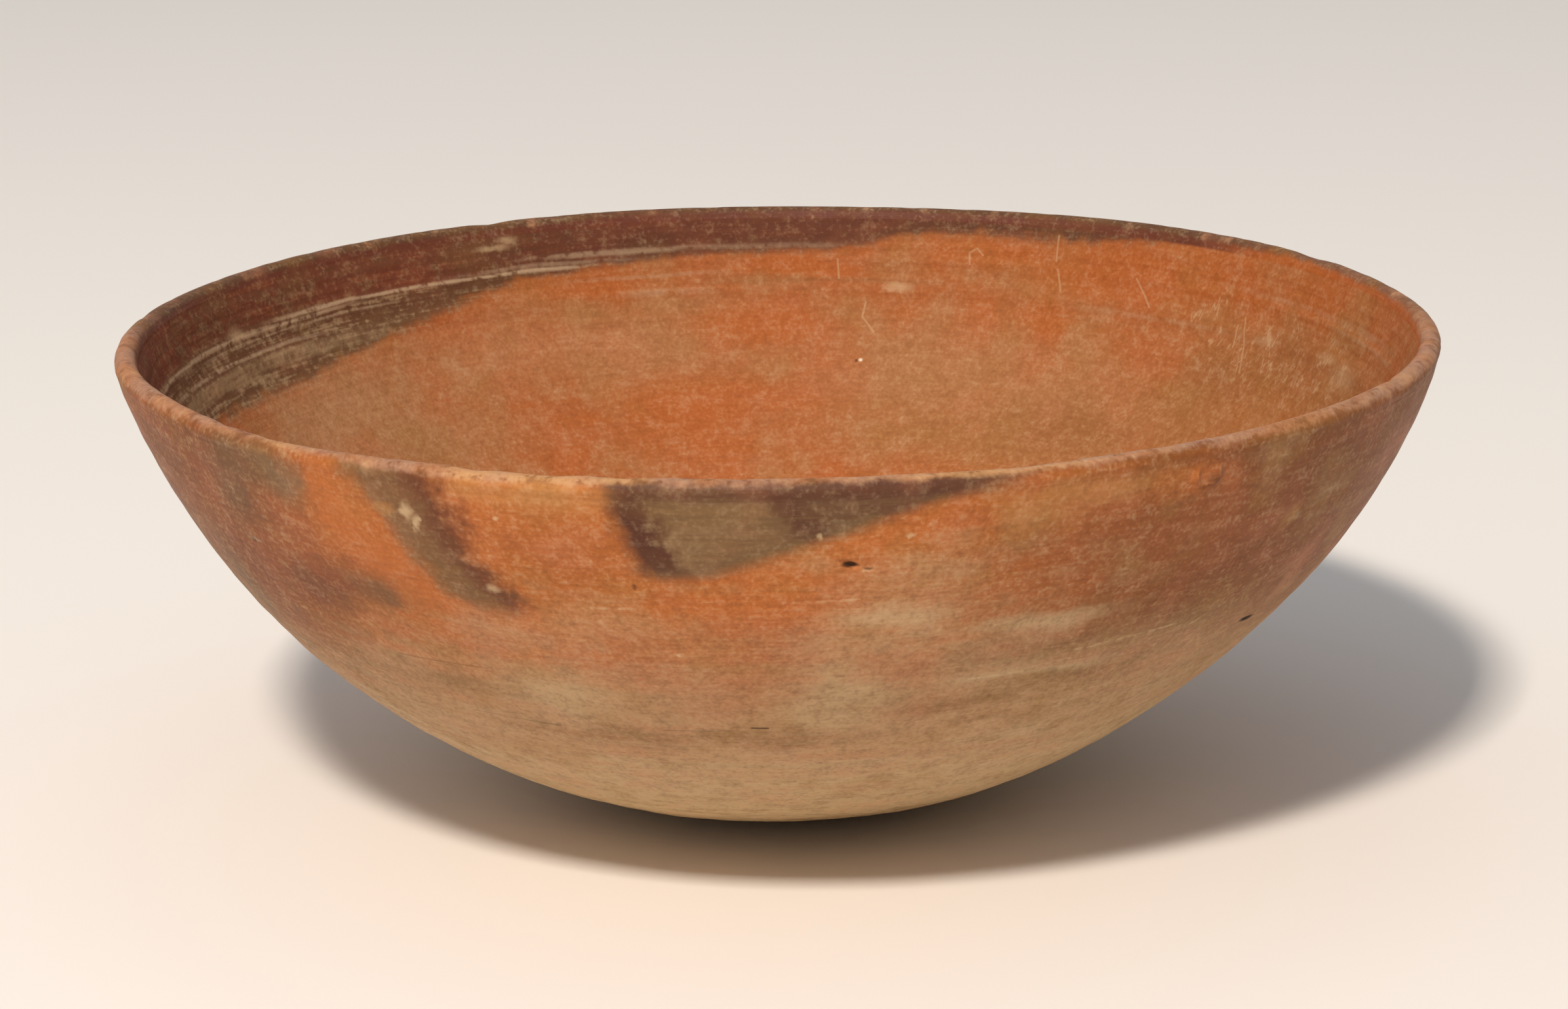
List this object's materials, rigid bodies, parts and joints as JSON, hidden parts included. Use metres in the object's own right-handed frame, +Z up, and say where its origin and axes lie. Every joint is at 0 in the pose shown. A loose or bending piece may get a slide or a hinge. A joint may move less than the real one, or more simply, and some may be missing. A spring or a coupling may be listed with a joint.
{
  "type": "earthenware bowl",
  "caption": "Wide round-bottomed earthenware bowl, slip-coated and burnished, with a rounded bare lip and dark fire clouds.",
  "frame": {"origin": "centre of the resting flat, on the surface that the bowl stands on", "axes": "+Z up along the bowl's axis; -Y is the side with the fire clouds, seen from the front; +X to the right of that view"},
  "size_m": [0.3, 0.3, 0.11],
  "materials": {
    "fired_clay": "bare buff earthenware, smoothed and lightly burnished, satin",
    "inner_red_slip": "burnished orange-red slip with a dark maroon-brown band from the firing, satin",
    "outer_red_slip": "burnished orange-red slip with dark fire clouds, worn towards the buff bottom, satin"
  },
  "bodies": {
    "root": {"clay_body": "fired_clay", "inner_slip": "inner_red_slip", "outer_slip": "outer_red_slip"}
  },
  "joints": []
}
